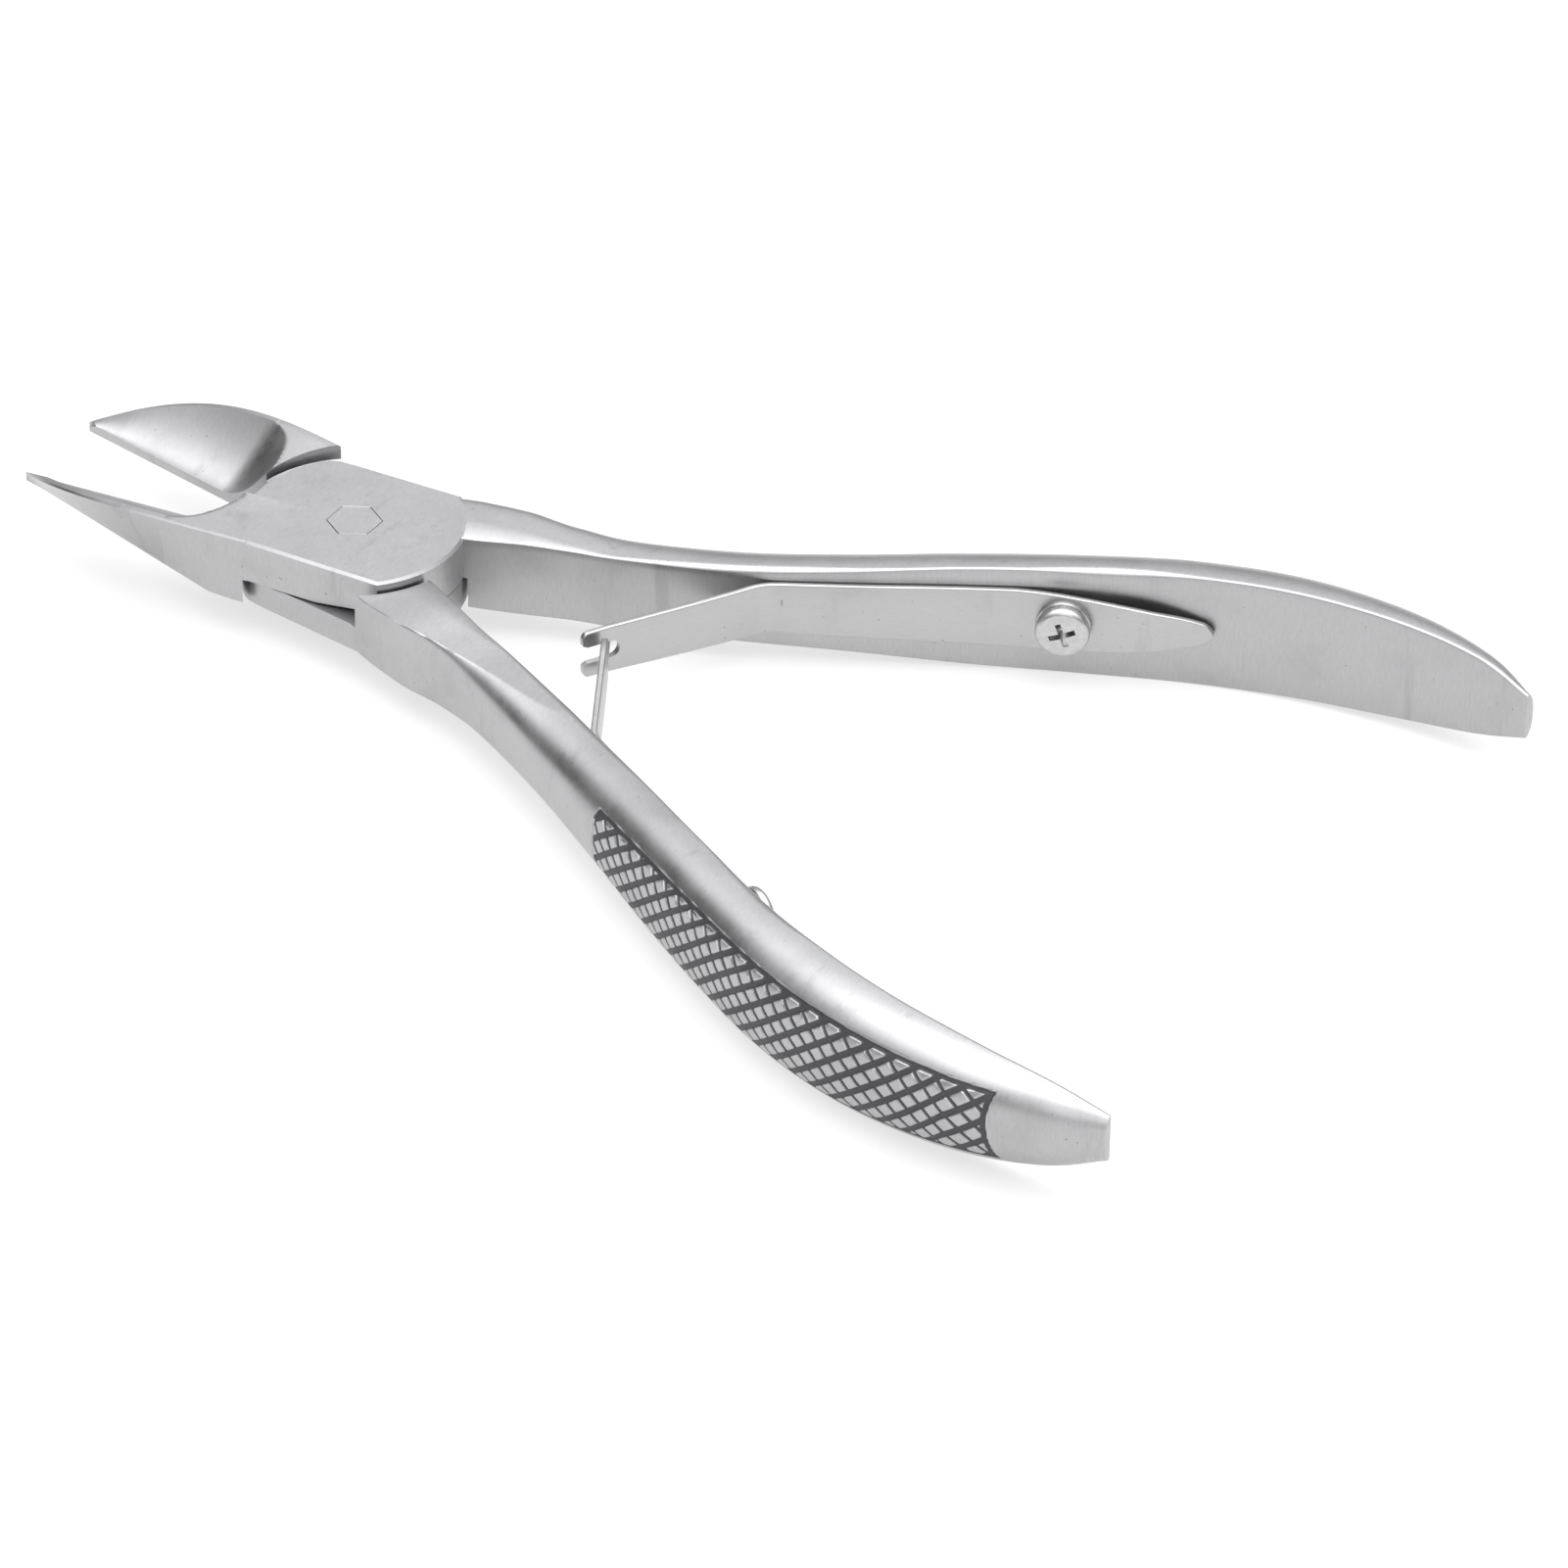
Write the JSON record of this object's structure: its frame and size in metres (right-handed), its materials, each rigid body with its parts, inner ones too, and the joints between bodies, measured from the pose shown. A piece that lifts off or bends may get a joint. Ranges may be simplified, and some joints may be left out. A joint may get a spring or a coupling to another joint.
{
  "type": "nail clipper",
  "caption": "Plier-type toenail nipper: two lap-jointed arms with hollow-ground jaws and knurled handles, opened by interlocking leaf springs.",
  "frame": {"origin": "on the pivot axis, at the flat underside of the head", "axes": "+X from the pivot to the handle ends, jaws towards -X; +Y towards the upper arm's handle; +Z along the rivet, out of the upper lap"},
  "size_m": [0.1384, 0.0844, 0.0121],
  "materials": {
    "brushed_steel": "fine satin brushed stainless steel, brighter along the edges",
    "rivet_steel": "ground flush with the head",
    "spring_steel": "satin strip with bright rounded edges",
    "screw_steel": "bright turned stainless steel"
  },
  "bodies": {
    "upper_arm": {"upper_arm": "brushed_steel", "pivot_rivet": "rivet_steel", "slotted_leaf_base": "spring_steel", "slotted_leaf_screw": "screw_steel"},
    "lower_arm": {"lower_arm": "brushed_steel", "tongue_leaf_base": "spring_steel", "tongue_leaf_screw": "screw_steel"},
    "slotted_leaf": {"slotted_leaf_tip": "spring_steel"},
    "tongue_leaf": {"tongue_leaf_tip": "spring_steel"}
  },
  "joints": [
    {"name": "pivot", "type": "hinge", "parent": "upper_arm", "child": "lower_arm", "pos_m": [0, 0, 0], "axis": [0, 0, 1], "range_deg": [0, 16.5], "stiffness_Nm_per_rad": 0.6, "springref_deg": -5.73},
    {"name": "slotted_leaf_flex", "type": "hinge", "parent": "upper_arm", "child": "slotted_leaf", "pos_m": [0.03613, 0.01441, 0.0031], "axis": [0, 0, 1], "range_deg": [-19.6, 0]},
    {"name": "tongue_leaf_flex", "type": "hinge", "parent": "lower_arm", "child": "tongue_leaf", "pos_m": [0.03613, -0.01441, 0.0031], "axis": [0, 0, 1], "range_deg": [0, 19.6]}
  ],
  "couplings": [
    {"joint": "slotted_leaf_flex", "follows": "pivot", "ratio": -1.155},
    {"joint": "tongue_leaf_flex", "follows": "pivot", "ratio": 1.155}
  ]
}
